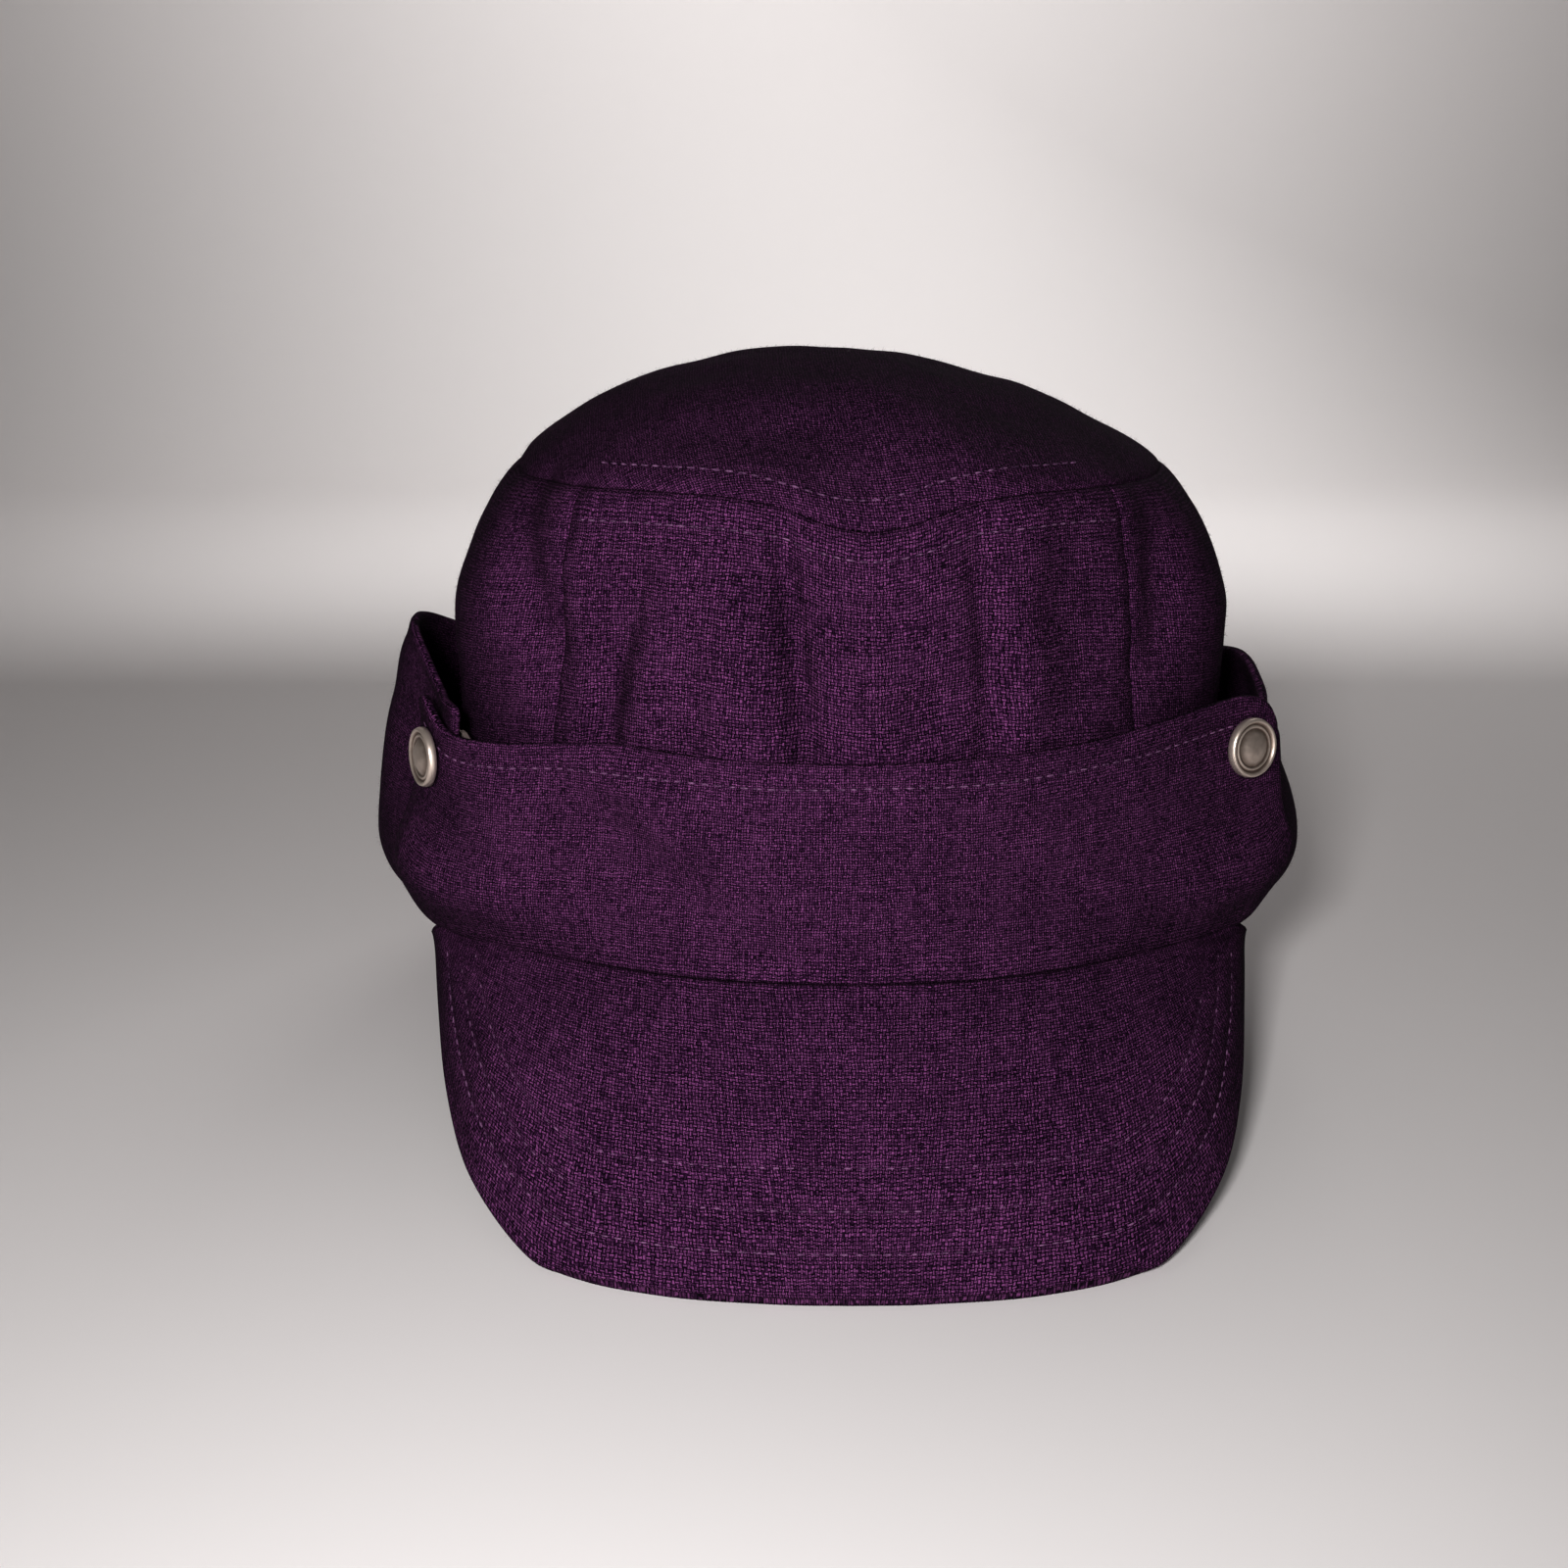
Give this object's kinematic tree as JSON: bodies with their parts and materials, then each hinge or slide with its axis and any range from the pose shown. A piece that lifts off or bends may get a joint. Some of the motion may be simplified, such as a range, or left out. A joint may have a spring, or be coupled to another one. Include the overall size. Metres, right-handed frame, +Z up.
{
  "type": "cadet cap",
  "caption": "Soft wool cadet cap with a domed crown, a long drooping peak, a front band and a turned-up ear flap held by snap fasteners.",
  "frame": {"origin": "on the surface that the cap rests on, under the middle of its outline", "axes": "+Z up, the front and its peak face -Y, +X to the right as seen from the front"},
  "size_m": [0.2564, 0.2355, 0.1815],
  "materials": {
    "wool": "woven melange wool, matt and slightly fuzzy",
    "snap_metal": "antique silver, worn satin"
  },
  "bodies": {
    "root": {"top_panel": "wool", "front_panel": "wool", "side_panel_right": "wool", "side_panel_left": "wool", "front_band": "wool", "ear_flap": "wool", "peak": "wool", "snap_cap_right": "snap_metal", "snap_back_right": "snap_metal", "snap_cap_left": "snap_metal", "snap_back_left": "snap_metal"}
  },
  "joints": []
}
